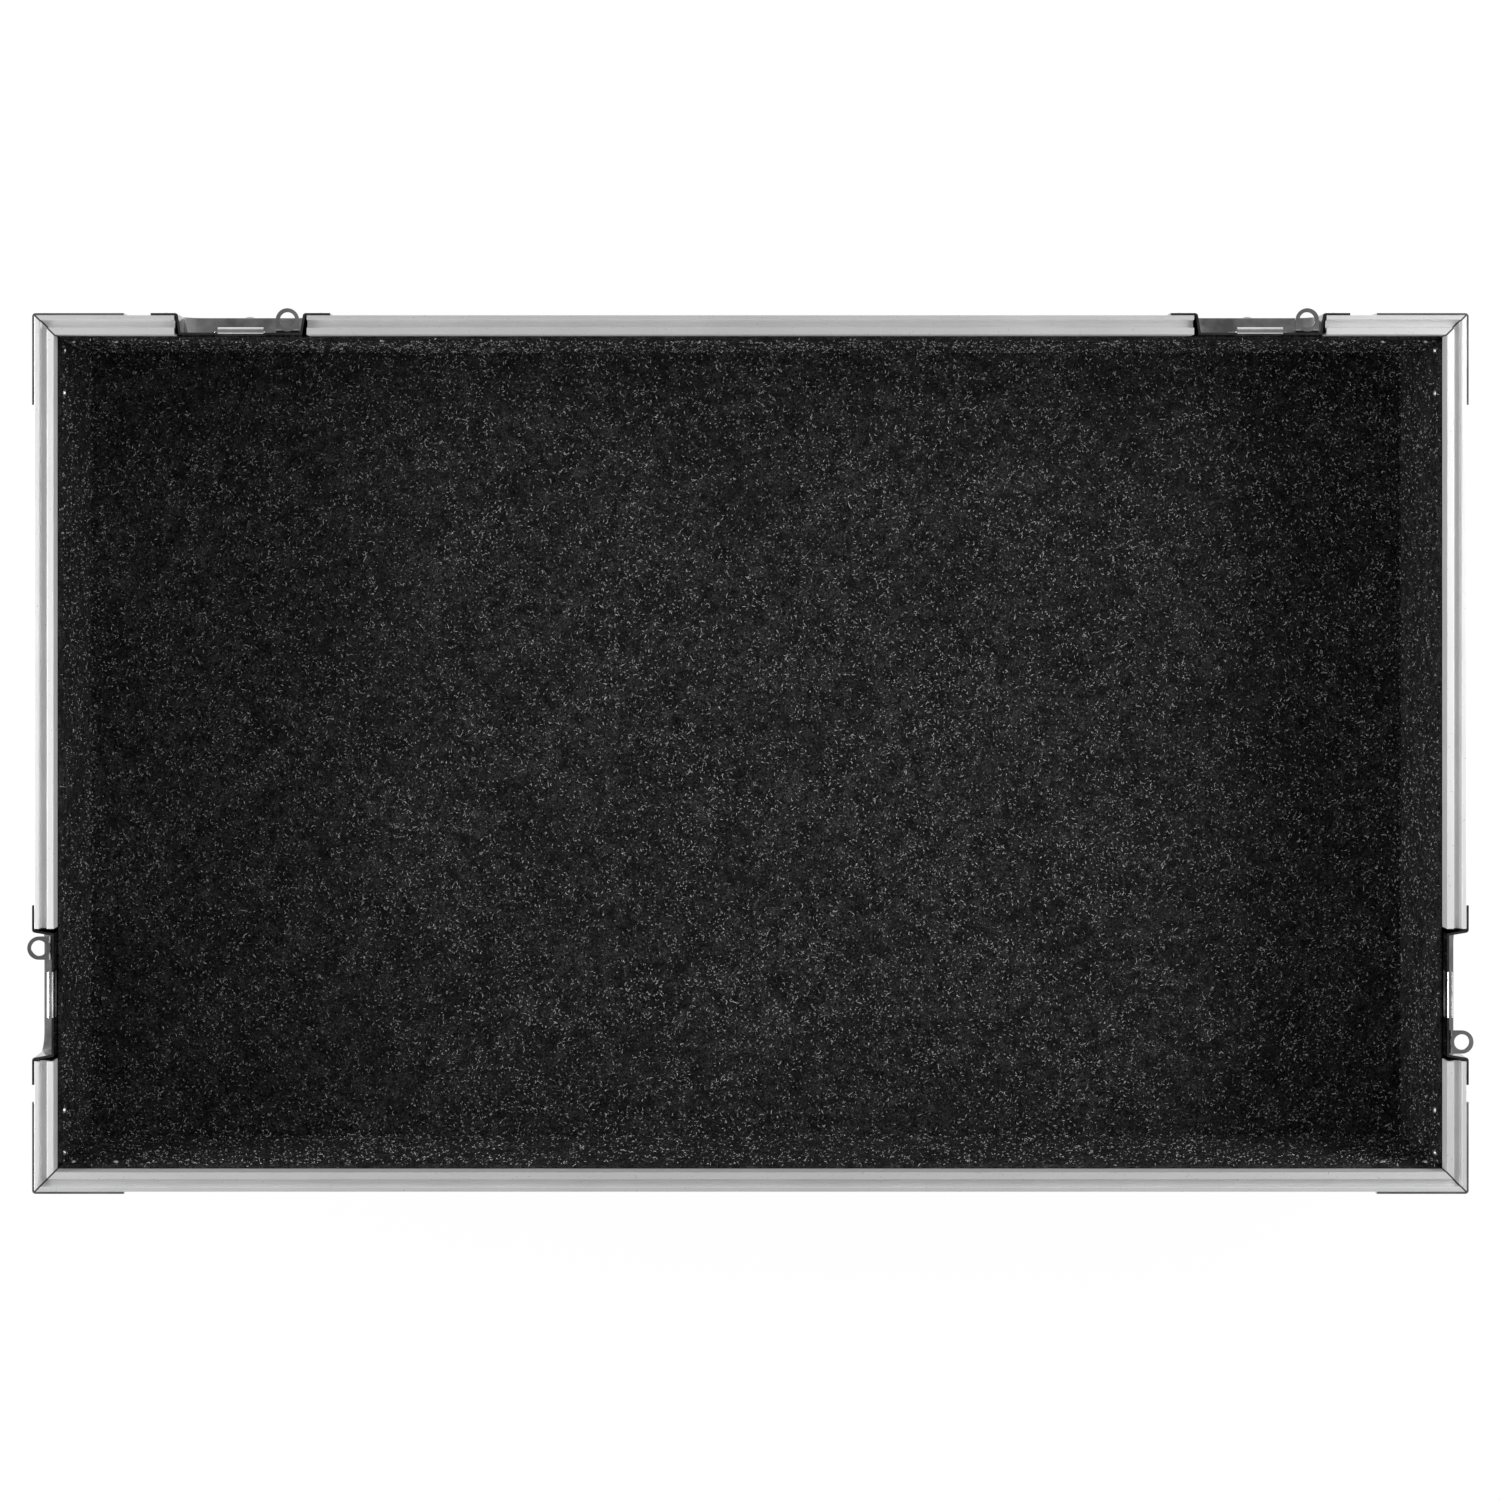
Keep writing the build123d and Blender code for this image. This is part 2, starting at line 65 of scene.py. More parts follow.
class Tree:
    """Short calls that build a material on one Principled shader.

    Noise and cell scales count features per metre, and bump distances are in metres.
    """

    # Nearly all values of a noise lie in this range
    noise_low = 0.3
    noise_high = 0.7

    def __init__(self, name, values):
        self.material = bpy.data.materials.new(name)
        self.material.use_nodes = True
        self.nodes = self.material.node_tree.nodes
        self.links = self.material.node_tree.links
        self.shader = self.nodes["Principled BSDF"]
        self.place = self.nodes.new("ShaderNodeTexCoord").outputs["Object"]
        for socket, value in values.items():
            self.shader.inputs[socket].default_value = value

    def put(self, value, socket):
        if isinstance(value, bpy.types.NodeSocket):
            self.links.new(value, socket)
        else:
            socket.default_value = value

    def wear(self, socket, value):
        self.put(value, self.shader.inputs[socket])

    def noise(self, scale, detail=2.0, roughness=0.5, stretch=(1, 1, 1), distortion=0.0):
        mapping = self.nodes.new("ShaderNodeMapping")
        mapping.inputs["Scale"].default_value = stretch
        self.links.new(self.place, mapping.inputs["Vector"])
        node = self.nodes.new("ShaderNodeTexNoise")
        self.links.new(mapping.outputs["Vector"], node.inputs["Vector"])
        node.inputs["Scale"].default_value = scale
        node.inputs["Detail"].default_value = detail
        node.inputs["Roughness"].default_value = roughness
        node.inputs["Distortion"].default_value = distortion
        return node.outputs["Fac"]

    def cells(self, scale):
        node = self.nodes.new("ShaderNodeTexVoronoi")
        self.links.new(self.place, node.inputs["Vector"])
        node.inputs["Scale"].default_value = scale
        return node.outputs["Distance"]

    def spread(self, value, low, high, to_low=0.0, to_high=1.0):
        """A value between low and high, moved to the range between to_low and to_high."""
        node = self.nodes.new("ShaderNodeMapRange")
        node.inputs["From Min"].default_value = low
        node.inputs["From Max"].default_value = high
        node.inputs["To Min"].default_value = to_low
        node.inputs["To Max"].default_value = to_high
        self.put(value, node.inputs["Value"])
        return node.outputs["Result"]

    def level(self, noise, to_low=0.0, to_high=1.0):
        """A noise moved to the range between to_low and to_high."""
        return self.spread(noise, self.noise_low, self.noise_high, to_low, to_high)

    def math(self, operation, a, b=0.0):
        node = self.nodes.new("ShaderNodeMath")
        node.operation = operation
        self.put(a, node.inputs[0])
        self.put(b, node.inputs[1])
        return node.outputs["Value"]

    def mix(self, share, a, b):
        """A colour from a, at share 0, to b, at share 1; a float stands for a grey."""
        node = self.nodes.new("ShaderNodeMix")
        node.data_type = "RGBA"
        self.put(share, node.inputs["Factor"])
        for key, colour in (("A", a), ("B", b)):
            socket = next(s for s in node.inputs if s.name == key and s.type == "RGBA")
            self.put(grey(colour) if isinstance(colour, float) else colour, socket)
        return next(s for s in node.outputs if s.type == "RGBA")

    def bump(self, height, strength, distance, below=None):
        node = self.nodes.new("ShaderNodeBump")
        node.inputs["Strength"].default_value = strength
        node.inputs["Distance"].default_value = distance
        self.links.new(height, node.inputs["Height"])
        if below is not None:
            self.links.new(below, node.inputs["Normal"])
        return node.outputs["Normal"]


# Materials
def by_axis(axis, along, across):
    """Values for X, Y and Z: one for the given axis and another for the other two."""
    return [along if a == axis else across for a in "xyz"]


def mitre_gap_shade(tree):
    """1 on the thin lines of painted shade in the gaps where mitred ends meet at the case's
    corners, else 0.
    """
    dark_within = 0.4 * MM
    clear_beyond = 0.8 * MM
    split = tree.nodes.new("ShaderNodeSeparateXYZ")
    tree.links.new(tree.place, split.inputs["Vector"])
    past_x = tree.math("SUBTRACT", tree.math("ABSOLUTE", split.outputs["X"]), half_length)
    past_y = tree.math("SUBTRACT", tree.math("ABSOLUTE", split.outputs["Y"]), half_width)
    off_seam = tree.math("ABSOLUTE", tree.math("SUBTRACT", past_x, past_y))
    return tree.spread(off_seam, dark_within, clear_beyond, to_low=1.0, to_high=0.0)


def extrusion_material(axis):
    """Satin anodised aluminium with drawing lines along one axis."""
    values = {"Metallic": 0.6, "Anisotropic": 0.5, "Anisotropic Rotation": 0.25}
    dull_grey = 0.78
    bright_grey = 0.93
    speck_grey = 0.42
    gap_shade_grey = 0.03
    tree = Tree(f"extrusion_along_{axis}", values)
    tangent = tree.nodes.new("ShaderNodeCombineXYZ")
    for socket, value in zip("XYZ", by_axis(axis, along=1.0, across=0.02)):
        tangent.inputs[socket].default_value = value
    tree.wear("Tangent", tangent.outputs["Vector"])
    line_stretch = by_axis(axis, along=1.0, across=60.0)
    hair_stretch = by_axis(axis, along=0.1, across=60.0)
    lines = tree.noise(scale=60.0, detail=6.0, roughness=0.7, stretch=line_stretch)
    hairlines = tree.noise(scale=160.0, roughness=0.6, stretch=hair_stretch)
    clouds = tree.noise(scale=22.0, detail=3.0)
    dirt = tree.noise(scale=850.0, detail=3.0, roughness=0.6)
    specks = tree.spread(dirt, low=0.66, high=0.74)
    drawn = tree.level(lines, to_low=-0.12, to_high=0.12)
    clouded = tree.level(clouds, to_low=0.35, to_high=0.65)
    clean = tree.mix(tree.math("ADD", drawn, clouded), dull_grey, bright_grey)
    metal = tree.mix(specks, clean, speck_grey)
    if axis != "z":
        # Painted shade: the thin gaps where the mitred ends meet at the corners are darkened in
        # the colour
        metal = tree.mix(mitre_gap_shade(tree), metal, gap_shade_grey)
    tree.wear("Base Color", metal)
    tree.wear("Roughness", tree.level(lines, to_low=0.46, to_high=0.6))
    scratched = tree.bump(hairlines, strength=0.15, distance=0.1 * MM)
    tree.wear("Normal", tree.bump(lines, strength=0.22, distance=0.2 * MM, below=scratched))
    return tree.material


def plated_material(name, dark, light, smooth, dull):
    """Plated pressings, slightly rippled by the press and scuffed."""
    tree = Tree(name, {"Metallic": 1.0})
    ripple = tree.noise(scale=170.0, distortion=0.6)
    grain = tree.noise(scale=2600.0, roughness=0.6)
    clouds = tree.noise(scale=45.0, detail=4.0, roughness=0.6)
    tree.wear("Base Color", tree.mix(tree.level(clouds), dark, light))
    tree.wear("Roughness", tree.level(clouds, smooth, dull))
    grained = tree.bump(grain, strength=0.08, distance=0.1 * MM)
    tree.wear("Normal", tree.bump(ripple, strength=0.35, distance=0.6 * MM, below=grained))
    return tree.material


def rivet_material():
    """Plated rivet heads with small hammer marks."""
    dark = 0.36
    light = 0.58
    tree = Tree("rivet_steel", {"Metallic": 1.0})
    marks = tree.noise(scale=900.0, detail=3.0, roughness=0.6)
    tree.wear("Base Color", tree.mix(tree.level(marks), dark, light))
    tree.wear("Roughness", tree.level(marks, to_low=0.24, to_high=0.42))
    tree.wear("Normal", tree.bump(marks, strength=0.2, distance=0.2 * MM))
    return tree.material


def laminate_material():
    """Black phenolic film with a fine pebbled press texture and faint scuffs."""
    black = 0.011
    scuffed = 0.03
    tree = Tree("laminate", {"Specular IOR Level": 0.4})
    pebble = tree.cells(scale=900.0)
    scuffs = tree.noise(scale=14.0, detail=8.0, roughness=0.75, distortion=1.5)
    rubbed = tree.spread(scuffs, low=0.56, high=0.72)
    tree.wear("Base Color", tree.mix(rubbed, black, scuffed))
    tree.wear("Roughness", tree.spread(rubbed, low=0.0, high=1.0, to_low=0.42, to_high=0.62))
    tree.wear("Normal", tree.bump(pebble, strength=0.3, distance=0.3 * MM))
    return tree.material


def felt_material():
    """The body of the needled felt: curled strands over dark gaps."""
    gap_grey = 0.002
    strand_grey = 0.145
    strand_falloff = 1.4
    tree = Tree("carpet_felt", {"Roughness": 1.0, "Specular IOR Level": 0.1})
    curls = tree.noise(scale=1000.0, detail=3.0, roughness=0.75, distortion=1.6)
    tufts = tree.noise(scale=120.0, detail=3.0, roughness=0.6)
    drift = tree.noise(scale=22.0)
    strands = tree.math("POWER", tree.spread(curls, low=0.44, high=0.64), strand_falloff)
    tufted = tree.level(tufts, to_low=0.25, to_high=1.2)
    drifting = tree.level(drift, to_low=0.75, to_high=1.15)
    lit = tree.math("MULTIPLY", strands, tree.math("MULTIPLY", tufted, drifting))
    tree.wear("Base Color", tree.mix(lit, gap_grey, strand_grey))
    tree.wear("Normal", tree.bump(curls, strength=0.9, distance=0.8 * MM))
    return tree.material


def fibre_material(kind, dark, light, roughness):
    """Loose fibres whose shade drifts from one to the next."""
    values = {"Roughness": roughness, "Specular IOR Level": 0.35}
    tree = Tree(f"carpet_pile_{kind}", values)
    drift = tree.noise(scale=420.0, detail=3.0, roughness=0.7)
    tree.wear("Base Color", tree.mix(tree.spread(drift, low=0.35, high=0.65), dark, light))
    return tree.material


extrusion = {axis: extrusion_material(axis) for axis in "xyz"}
plated = plated_material("plated_steel", dark=0.42, light=0.66, smooth=0.14, dull=0.26)
# Painted shade: the latch dishes are the same plated steel, darkened to stand in for the shade
# in their recesses
dish_steel_painted_shade = plated_material("dish_steel_painted_shade", dark=0.08, light=0.22, smooth=0.06, dull=0.14)
# Painted light: the keepers are the same plated steel, lightened to look lit from above
keeper_steel_painted_light = plated_material("keeper_steel_painted_light", dark=0.62, light=0.85, smooth=0.16, dull=0.28)
rivet_steel = rivet_material()
laminate = laminate_material()
felt = felt_material()
pile = {
    "dark": fibre_material("dark", dark=0.002, light=0.008, roughness=0.8),
    "grey": fibre_material("grey", dark=0.01, light=0.05, roughness=0.7),
    "pale": fibre_material("pale", dark=0.08, light=0.24, roughness=0.7),
    "light": fibre_material("light", dark=0.48, light=0.92, roughness=0.6),
    "fine": fibre_material("fine", dark=0.26, light=0.7, roughness=0.6),
}


def drawn_along(node):
    """The axis along which an extrusion of this name was drawn."""
    if node.startswith("corner_angle"):
        return "z"
    return "y" if "_left" in node or "_right" in node else "x"


def material_for(node):
    """The material that a node's name calls for; every other name is a plated fitting."""
    if node.startswith(("rim_rail", "base_edge", "corner_angle")):
        return extrusion[drawn_along(node)]
    if node.endswith("rivets"):
        return rivet_steel
    if node.startswith(("base_panel", "wall_panel")):
        return laminate
    if node.startswith("latch_dish"):
        return dish_steel_painted_shade
    if node.startswith("latch_keeper"):
        return keeper_steel_painted_light
    return plated


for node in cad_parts:
    # The linings replace the plain carpet solids
    if not node.startswith("carpet"):
        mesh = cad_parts[node].data
        mesh.materials.clear()
        mesh.materials.append(material_for(node))


# Meshes from arrays
def mesh_piece(name, points, faces, material, replaced=()):
    """A piece on the root body from points and a list of arrays of equal-sized faces."""
    mesh = bpy.data.meshes.new(name)
    corner_list = np.concatenate([f.ravel() for f in faces])
    sizes = np.concatenate([np.full(len(f), f.shape[1]) for f in faces])
    mesh.vertices.add(len(points))
    mesh.vertices.foreach_set("co", np.asarray(points, np.float32).ravel())
    mesh.loops.add(len(corner_list))
    mesh.loops.foreach_set("vertex_index", corner_list.astype(np.int32))
    mesh.polygons.add(len(sizes))
    starts = np.concatenate([[0], np.cumsum(sizes)[:-1]])
    mesh.polygons.foreach_set("loop_start", starts.astype(np.int32))
    mesh.polygons.foreach_set("use_smooth", np.full(len(sizes), True))
    mesh.update(calc_edges=True)
    mesh.validate()
    mesh.materials.append(material)
    piece = bpy.data.objects.new(name, mesh)
    bpy.context.scene.collection.objects.link(piece)
    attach(piece, "root")
    if replaced:
        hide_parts(*replaced)


def eased(x):
    """0 at 0 and 1 at 1, level at both."""
    return x * x * (3 - 2 * x)


def soft_noise(a, b, cell, seed):
    """Smooth random values between -1 and 1 at the places (a, b), from a lattice of cells."""
    rng = np.random.default_rng(seed)
    u = (a - a.min()) / cell
    v = (b - b.min()) / cell
    lattice = rng.uniform(-1, 1, (int(u.max()) + 2, int(v.max()) + 2))
    i = u.astype(int)
    j = v.astype(int)
    share_u = eased(u - i)
    share_v = eased(v - j)
    near = lattice[i, j] * (1 - share_u) + lattice[i + 1, j] * share_u
    far = lattice[i, j + 1] * (1 - share_u) + lattice[i + 1, j + 1] * share_u
    return near * (1 - share_v) + far * share_v


# Carpet lining
floor_felt = 3.4 * MM
wall_felt = 2.25 * MM
felt_cell = 2.2 * MM
felt_edge_radius = 1.1 * MM
felt_relief = 0.28 * MM
hummock_size = 9 * MM
hummock_share = 0.6
tuft_size = 3.5 * MM
tuft_share = 0.4
sheet_seed = {"floor": 11, "back": 21, "front": 31, "left": 41, "right": 51}


class Sheet:
    """A lining: a slab whose origin is a corner of its back.

    Places on it are s, measured along it, and t, measured up it. Its thickness goes inward.
    """

    def __init__(self, name, origin, along, up, inward, length, height, thickness):
        self.name = name
        self.origin = np.array(origin)
        self.along = np.array(along, float)
        self.up = np.array(up, float)
        self.inward = np.array(inward, float)
        self.length = length
        self.height = height
        self.thickness = thickness
        self.seed = sheet_seed[name]

    def relief(self, s, t):
        """The felt's lumps, from twice the relief below its thickness up to that thickness."""
        hummocks = soft_noise(s, t, hummock_size, self.seed)
        tufts = soft_noise(s, t, tuft_size, self.seed + 1)
        return felt_relief * (hummock_share * hummocks + tuft_share * tufts - 1)

    def rounding(self, s, t):
        """How far the surface drops towards the sheet's edges, as a value of 0 or less."""
        inset = np.minimum(np.minimum(s, self.length - s), np.minimum(t, self.height - t))
        short = felt_edge_radius - np.clip(inset, 0, felt_edge_radius)
        return np.sqrt(np.maximum(felt_edge_radius**2 - short**2, 0)) - felt_edge_radius

    def surface(self, s, t):
        """The depth of the felt's face above the sheet's back."""
        return self.thickness + self.relief(s, t) + self.rounding(s, t)

    def at(self, s, t, depth):
        return (
            self.origin
            + np.multiply.outer(s, self.along)
            + np.multiply.outer(t, self.up)
            + np.multiply.outer(depth, self.inward)
        )


def floor_sheet():
    low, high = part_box("carpet_floor")
    origin = (low.x, low.y, high.z - floor_felt)
    length = high.x - low.x
    width = high.y - low.y
    return Sheet("floor", origin, (1, 0, 0), (0, 1, 0), (0, 0, 1), length, width, floor_felt)


def wall_sheet(wall):
    """The lining of a wall, which runs to the right as seen from outside the case."""
    low, high = (np.array(corner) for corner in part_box(f"carpet_{wall}"))
    up = np.array([0, 0, 1])
    inward = -np.array(facing_of[wall])
    along = np.cross(inward, up)
    length = abs(along) @ (high - low)
    height = up @ (high - low)
    # The corner of the inner face where the lining starts, moved out by its thickness
    origin = np.where(inward > along, high, low) - wall_felt * inward
    return Sheet(wall, origin, along, up, inward, length, height, wall_felt)


def felt_body(sheet):
    """Closed slab whose inner face has the felt's lumps and a rounded border."""
    columns = int(sheet.length / felt_cell) + 1
    rows = int(sheet.height / felt_cell) + 1
    s, t = np.meshgrid(
        np.linspace(0, sheet.length, columns), np.linspace(0, sheet.height, rows), indexing="ij"
    )
    face = sheet.at(s, t, sheet.surface(s, t)).reshape(-1, 3)
    number = np.arange(len(face)).reshape(s.shape)
    quads = [number[:-1, :-1], number[1:, :-1], number[1:, 1:], number[:-1, 1:]]
    border = np.concatenate(
        [number[:-1, 0], number[-1, :-1], number[:0:-1, -1], number[0, :0:-1]]
    )
    back = sheet.at(s.ravel()[border], t.ravel()[border], np.zeros(len(border)))
    back_number = len(face) + np.arange(len(border))
    skirt = [border, back_number, np.roll(back_number, -1), np.roll(border, -1)]
    lid = back_number[::-1][None, :]
    points = np.concatenate([face, back])
    faces = [np.stack(quads, -1).reshape(-1, 4), np.stack(skirt, -1), lid]
    node = f"carpet_{sheet.name}"
    mesh_piece(f"lining_{sheet.name}", points, faces, felt, [node])


# Loose fibres. A strand's length, radius and lift off the felt are in millimetres. Its
# clumping is 0 when spread evenly, and its wall share is its number on the walls against
# that on the floor.
Strand = namedtuple("Strand", "kind length radius lift clumping wall_share")
strands = (
    Strand("dark", length=4.5, radius=0.34, lift=1.0, clumping=0.3, wall_share=1.0),
    Strand("grey", length=3.2, radius=0.28, lift=0.9, clumping=0.6, wall_share=1.0),
    Strand("pale", length=2.0, radius=0.21, lift=1.0, clumping=0.9, wall_share=0.36),
    Strand("light", length=1.7, radius=0.22, lift=1.1, clumping=1.0, wall_share=0.36),
    Strand("fine", length=1.6, radius=0.2, lift=1.2, clumping=0.8, wall_share=0.36),
)
fibres_per_cm2 = 5.4
most_fibres = 16000

# How the fibres gather: the share of the tries that is kept, and how far clumps change it
kept_share = 0.5
small_clump = 7 * MM
small_clump_share = 0.5
large_clump = 40 * MM
large_clump_share = 0.25

# How a fibre varies: its bend in radians from step to step, the spread of its length, and
# the shares of its lift at its two inner points and of its radius
bend_spread = 0.9
length_spread = 0.35
first_lift = (0.2, 1.0)
second_lift = (0.5, 1.0)
thinner_thicker = (0.7, 1.2)

# A fibre is a closed tube in three steps: a tip, two rings of three points, the other tip
fibre_steps = 3
ring_sides = 3
points_each = 8
last_tip = 7
first_ring = 1
second_ring = 4
ring_steps = [(k, (k + 1) % ring_sides) for k in range(ring_sides)]
tip_faces = [(0, first_ring + after, first_ring + k) for k, after in ring_steps]
tip_faces += [(last_tip, second_ring + k, second_ring + after) for k, after in ring_steps]
tube_faces = [
    (first_ring + k, first_ring + after, second_ring + after, second_ring + k)
    for k, after in ring_steps
]


def scattered(rng, sheet, per_area, clumping, seed):
    """Random places on a sheet, in clumps."""
    tries = int(per_area * sheet.length * sheet.height / kept_share)
    s = rng.uniform(0, sheet.length, tries)
    t = rng.uniform(0, sheet.height, tries)
    small = small_clump_share * clumping * soft_noise(s, t, small_clump, seed + 1)
    large = large_clump_share * clumping * soft_noise(s, t, large_clump, seed + 2)
    density = kept_share + small + large
    kept = rng.uniform(0, 1, tries) < density
    return s[kept], t[kept]


def fibre_tubes(sheet, strand, per_area, seed):
    """The points of curly fibres that lie on a sheet, eight for each fibre."""
    rng = np.random.default_rng(seed)
    s, t = scattered(rng, sheet, per_area, strand.clumping, seed)
    count = len(s)
    heading = rng.uniform(0, 2 * pi, count)
    bend = rng.normal(0, bend_spread, count)
    step = strand.length * MM * rng.lognormal(0, length_spread, count) / fibre_steps
    height = strand.lift * MM * rng.uniform(*first_lift, count)
    thick = strand.radius * MM * rng.uniform(*thinner_thicker, count)
    path = np.zeros((fibre_steps + 1, count, 2))
    for i in range(fibre_steps):
        turn = heading + bend * (i - 1)
        path[i + 1] = path[i] + step[:, None] * np.stack([np.cos(turn), np.sin(turn)], -1)
    path -= path.mean(0)
    path_s = np.clip(s + path[:, :, 0], 0, sheet.length)
    path_t = np.clip(t + path[:, :, 1], 0, sheet.height)
    ends = np.zeros(count)
    rise = np.stack([ends, height, height * rng.uniform(*second_lift, count), ends])
    centre = sheet.at(path_s, path_t, sheet.surface(path_s, path_t) + rise)
    points = np.zeros((count, points_each, 3))
    points[:, 0] = centre[0]
    points[:, last_tip] = centre[-1]
    # The tiny value keeps a side of no length from being divided by zero
    tiny = 1e-9
    for ring, i in ((first_ring, 1), (second_ring, 2)):
        side = np.cross(centre[i + 1] - centre[i - 1], sheet.inward)
        side /= np.linalg.norm(side, axis=1)[:, None] + tiny
        for k in range(ring_sides):
            angle = pi / 2 + k * 2 * pi / ring_sides
            out = cos(angle) * side + sin(angle) * sheet.inward
            points[:, ring + k] = centre[i] + thick[:, None] * out
    return points


def fibre_pieces(sheet, strand, per_area, seed):
    """Pieces of at most so many fibres, numbered when there are more than one."""
    tubes = fibre_tubes(sheet, strand, per_area, seed)
    pieces = ceil(len(tubes) / most_fibres)
    for number, points in enumerate(np.array_split(tubes, pieces), 1):
        first = (points_each * np.arange(len(points)))[:, None, None]
        faces = [
            (first + np.array(tip_faces)).reshape(-1, 3),
            (first + np.array(tube_faces)).reshape(-1, 4),
        ]
        name = f"pile_{strand.kind}_{sheet.name}" + (f"_{number}" if pieces > 1 else "")
        mesh_piece(name, points.reshape(-1, 3), faces, pile[strand.kind])


for sheet in (floor_sheet(), *(wall_sheet(wall) for wall in facing_of)):
    felt_body(sheet)
    for number, strand in enumerate(strands, 1):
        share = 1.0 if sheet.name == "floor" else strand.wall_share
        per_area = share * fibres_per_cm2 * PER_CM2
        fibre_pieces(sheet, strand, per_area, seed=sheet.seed + 2 * number)


# Small rivets along the extrusions
head_radius = 3.0 * MM
head_height = 1.1 * MM
head_sides = 20
# Rings of the head, as shares of its radius and of its height
head_profile = [(1.0, 0.0), (0.99, 0.3), (0.9, 0.58), (0.7, 0.82), (0.4, 0.96)]


def domed_rivets(name, seats):
    """Domed rivet heads, each on a seat given as a point and the direction it faces."""
    points = []
    tris = []
    quads = []
    for point, facing in seats:
        facing = Vector(facing)
        side = facing.orthogonal().normalized()
        other = facing.cross(side)
        first = len(points)
        for out, up in head_profile:
            for k in range(head_sides):
                angle = 2 * pi * k / head_sides
                ring = side * cos(angle) + other * sin(angle)
                points.append(
                    Vector(point) + ring * head_radius * out + facing * head_height * up
                )
        points.append(Vector(point) + facing * head_height)
        points.append(Vector(point))
        last = first + (len(head_profile) - 1) * head_sides
        top = last + head_sides
        bottom = top + 1
        for k in range(head_sides):
            after = (k + 1) % head_sides
            for a in range(first, last, head_sides):
                b = a + head_sides
                quads.append((a + k, a + after, b + after, b + k))
            tris.append((last + k, last + after, top))
            tris.append((first + after, first + k, bottom))
    faces = [np.array(tris), np.array(quads)]
    mesh_piece(name, [tuple(p) for p in points], faces, rivet_steel)


def evenly(start, end, pitch):
    count = max(1, round((end - start) / pitch))
    return [start + (end - start) * i / count for i in range(count + 1)]


def on_wall(wall, along, z):
    """A point on a wall's outer face; along runs with +X or +Y."""
    x, y, _ = facing_of[wall]
    return (x * half_length + (along if y else 0), y * half_width + (along if x else 0), z)


def wall_half(wall):
    """Half the length of a wall's outer face."""
    return half_length if facing_of[wall][1] else half_width


rivet_pitch = 105 * MM
leg_rivet_inset = 20 * MM
# How far a row's end stays from the case's corner, or from a rail's end at a latch dish
past_brace = 75 * MM
past_dish = 32 * MM
past_ball = 80 * MM
shortest_row = 30 * MM
near = 1 * MM
corner_rivet_raise = 3 * MM


def rail_rivet_seats():
    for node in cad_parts:
        if not node.startswith("rim_rail"):
            continue
        wall = node.split("_")[2]
        low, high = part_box(node)
        axis = 0 if facing_of[wall][1] else 1
        half = wall_half(wall)
        start = low[axis] + (past_brace if low[axis] < -half + near else past_dish)
        end = high[axis] - (past_brace if high[axis] > half - near else past_dish)
        if end - start < shortest_row:
            continue
        for along in evenly(start, end, rivet_pitch):
            yield on_wall(wall, along, rim_z - leg_rivet_inset), facing_of[wall]


def base_rivet_seats():
    """Seats in both legs of each edge: on the wall, and under the closed face."""
    for wall, facing in facing_of.items():
        half = wall_half(wall)
        for along in evenly(-half + past_ball, half - past_ball, rivet_pitch):
            yield on_wall(wall, along, closed_face_z + leg_rivet_inset), facing
            edge = Vector(on_wall(wall, along, closed_face_z))
            yield edge - leg_rivet_inset * Vector(facing), (0, 0, -1)


def corner_rivet_seats():
    middle_z = (rim_z + closed_face_z) / 2 + corner_rivet_raise
    for wall, facing in facing_of.items():
        for side in (-1, 1):
            along = side * (wall_half(wall) - leg_rivet_inset)
            yield on_wall(wall, along, middle_z), facing


domed_rivets("rail_rivets", list(rail_rivet_seats()))
domed_rivets("base_edge_rivets", list(base_rivet_seats()))
domed_rivets("corner_angle_rivets", list(corner_rivet_seats()))


# Stage: a pale floor that shows white to the camera and keeps a soft shadow
floor_half = 6.0
floor_grey = 0.8
floor_glow = 1.04
glow_share = 0.93


def floor_material():
    """Matt grey, and mostly a white glow to camera, glossy and transmission rays."""
    tree = Tree("floor", {"Base Color": grey(floor_grey), "Roughness": 1.0})
    rays = tree.nodes.new("ShaderNodeLightPath")
    seen = rays.outputs["Is Camera Ray"]
    for kind in ("Is Glossy Ray", "Is Transmission Ray"):
        seen = tree.math("MAXIMUM", seen, rays.outputs[kind])
    glow = tree.nodes.new("ShaderNodeEmission")
    glow.inputs["Strength"].default_value = floor_glow
    blend = tree.nodes.new("ShaderNodeMixShader")
    tree.links.new(tree.math("MULTIPLY", seen, glow_share), blend.inputs["Fac"])
    tree.links.new(tree.shader.outputs["BSDF"], blend.inputs[1])
    tree.links.new(glow.outputs["Emission"], blend.inputs[2])
    tree.links.new(blend.outputs["Shader"], tree.nodes["Material Output"].inputs["Surface"])
    return tree.material


floor_corners = [
    (x * floor_half, y * floor_half, 0) for x, y in ((-1, -1), (1, -1), (1, 1), (-1, 1))
]
floor_mesh = bpy.data.meshes.new("studio_floor")
floor_mesh.from_pydata(floor_corners, [], [(0, 1, 2, 3)])
floor_mesh.materials.append(floor_material())
studio_floor = bpy.data.objects.new("studio_floor", floor_mesh)
bpy.context.scene.collection.objects.link(studio_floor)


# World: a white studio low down, and a dim ceiling above the camera. The fade's ends are
# heights of a direction, from 0 at the horizon to 1 straight up.
horizon_level = 0.85
zenith_level = 0.2
fade_start = 0.1
fade_end = 0.95


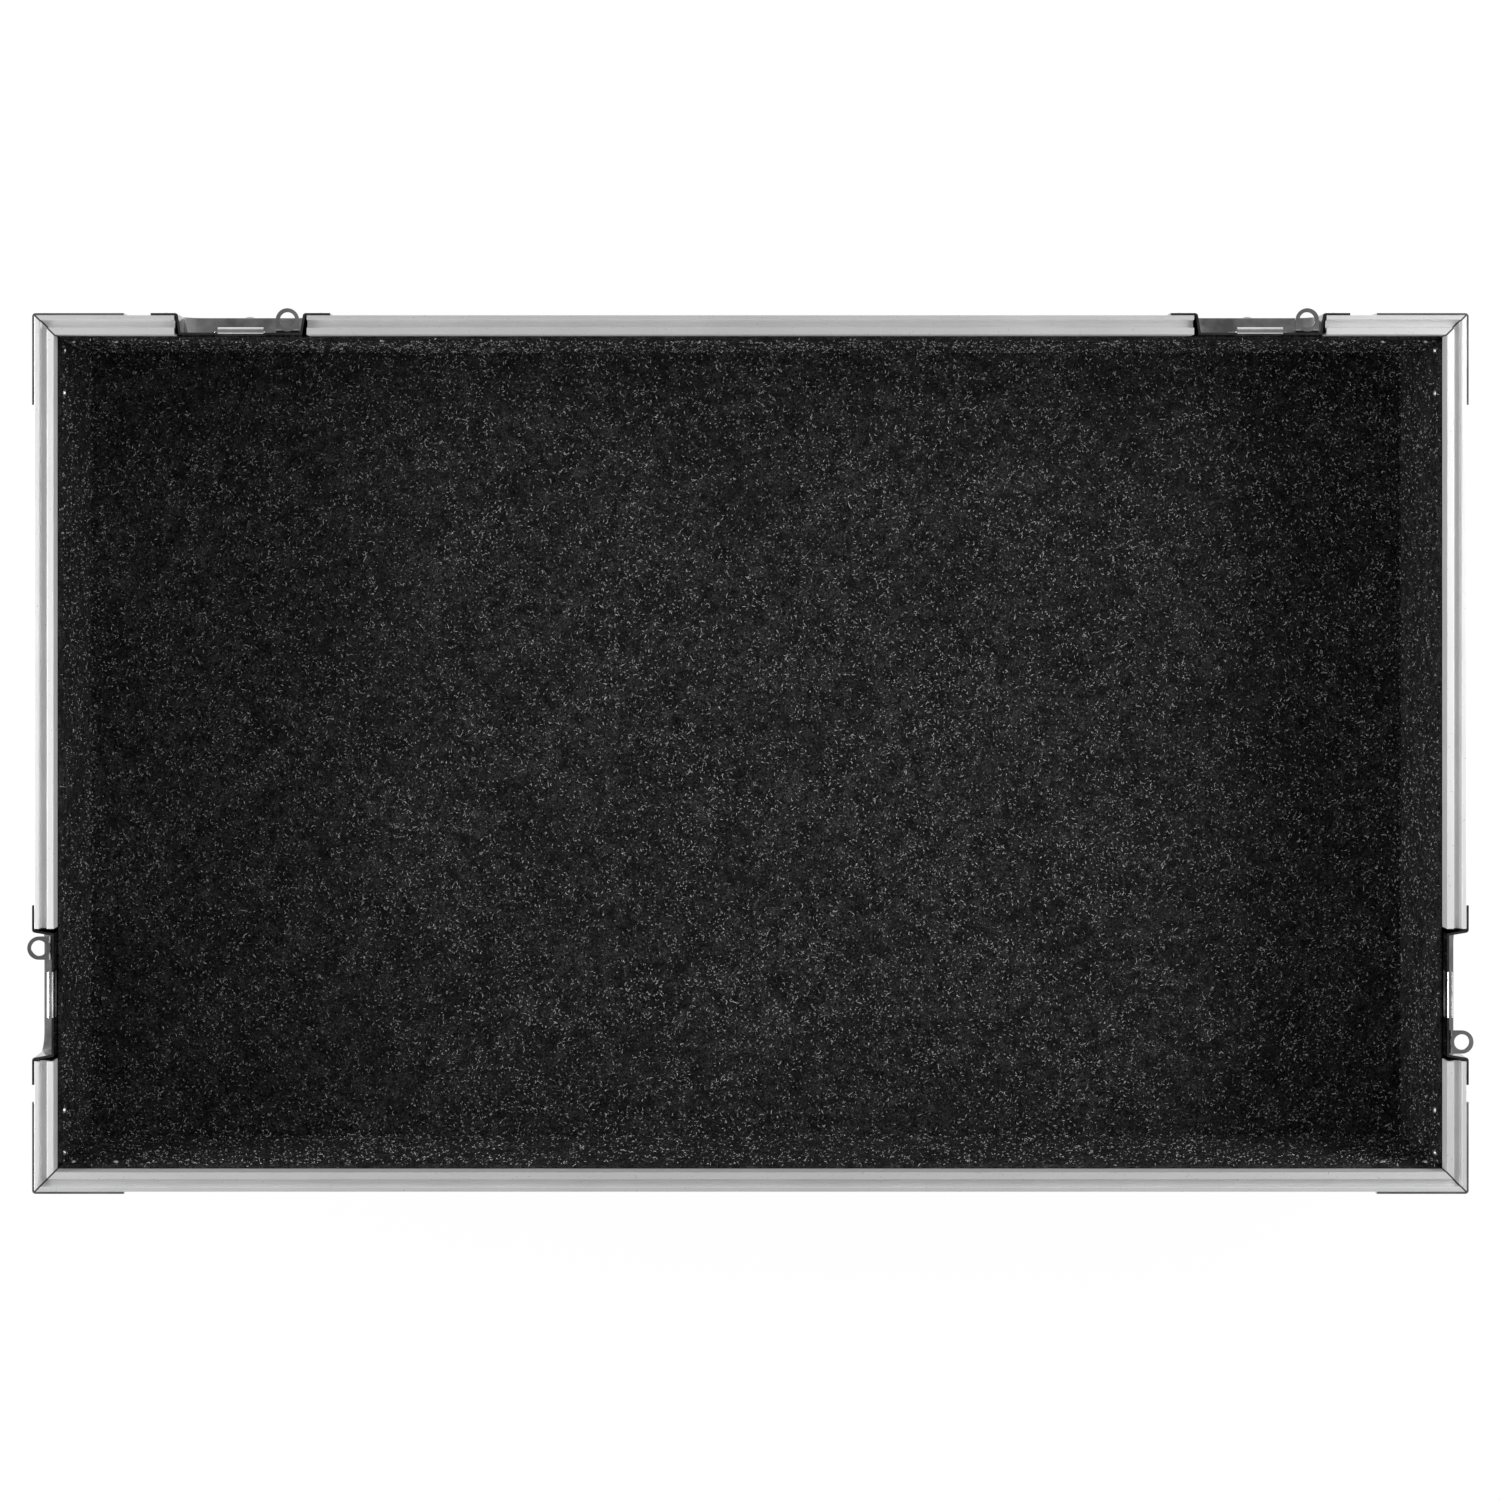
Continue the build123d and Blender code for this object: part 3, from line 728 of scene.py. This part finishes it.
def studio_world():
    world = bpy.data.worlds.new("studio")
    bpy.context.scene.world = world
    world.use_nodes = True
    nodes = world.node_tree.nodes
    links = world.node_tree.links
    direction = nodes.new("ShaderNodeTexCoord").outputs["Generated"]
    split = nodes.new("ShaderNodeSeparateXYZ")
    links.new(direction, split.inputs["Vector"])
    fade = nodes.new("ShaderNodeMapRange")
    fade.interpolation_type = "SMOOTHSTEP"
    fade.inputs["From Min"].default_value = fade_start
    fade.inputs["From Max"].default_value = fade_end
    fade.inputs["To Min"].default_value = horizon_level
    fade.inputs["To Max"].default_value = zenith_level
    links.new(split.outputs["Z"], fade.inputs["Value"])
    nodes["Background"].inputs["Color"].default_value = grey(1.0)
    links.new(fade.outputs["Result"], nodes["Background"].inputs["Strength"])


studio_world()

# Lamps, in metres and watts
softbox_width = 0.9
softbox_height = 0.4
softbox_distance = 1.4
case_middle = (0.0, 0.0, 0.03)


def softbox(name, azimuth, elevation, power):
    """A lamp aimed at the case, placed by its direction in degrees."""
    light = bpy.data.lights.new(name, "AREA")
    light.shape = "RECTANGLE"
    light.size = softbox_width
    light.size_y = softbox_height
    light.energy = power
    level = softbox_distance * cos(radians(elevation))
    height = softbox_distance * sin(radians(elevation))
    place = Vector((level * cos(radians(azimuth)), level * sin(radians(azimuth)), height))
    lamp = bpy.data.objects.new(name, light)
    lamp.location = place
    lamp.rotation_mode = "QUATERNION"
    lamp.rotation_quaternion = (place - Vector(case_middle)).to_track_quat("Z", "Y")
    bpy.context.scene.collection.objects.link(lamp)


softbox("left_softbox", azimuth=180, elevation=25, power=11.2)
softbox("right_softbox", azimuth=15, elevation=35, power=8.6)

# Camera, as the photograph was taken: straight down from high above the rim. The foot is
# the place straight below the camera, in metres and in pixels of the photograph.
photo_side = 1500
photo_width_at_rim = 0.869
camera_height = 1.865
camera_foot = (-0.046, 0.104)
foot_pixel = (671, 574)
sensor = 36.0

camera_data = bpy.data.cameras.new("camera")
camera_data.sensor_width = sensor
camera_data.lens = sensor * camera_height / photo_width_at_rim
camera_data.shift_x = (photo_side / 2 - foot_pixel[0]) / photo_side
camera_data.shift_y = (foot_pixel[1] - photo_side / 2) / photo_side
camera_data.clip_start = 0.1
camera_data.clip_end = 50.0
camera = bpy.data.objects.new("camera", camera_data)
camera.location = (*camera_foot, rim_z + camera_height)
bpy.context.scene.collection.objects.link(camera)
bpy.context.scene.camera = camera

bpy.context.scene.view_settings.view_transform = "Standard"
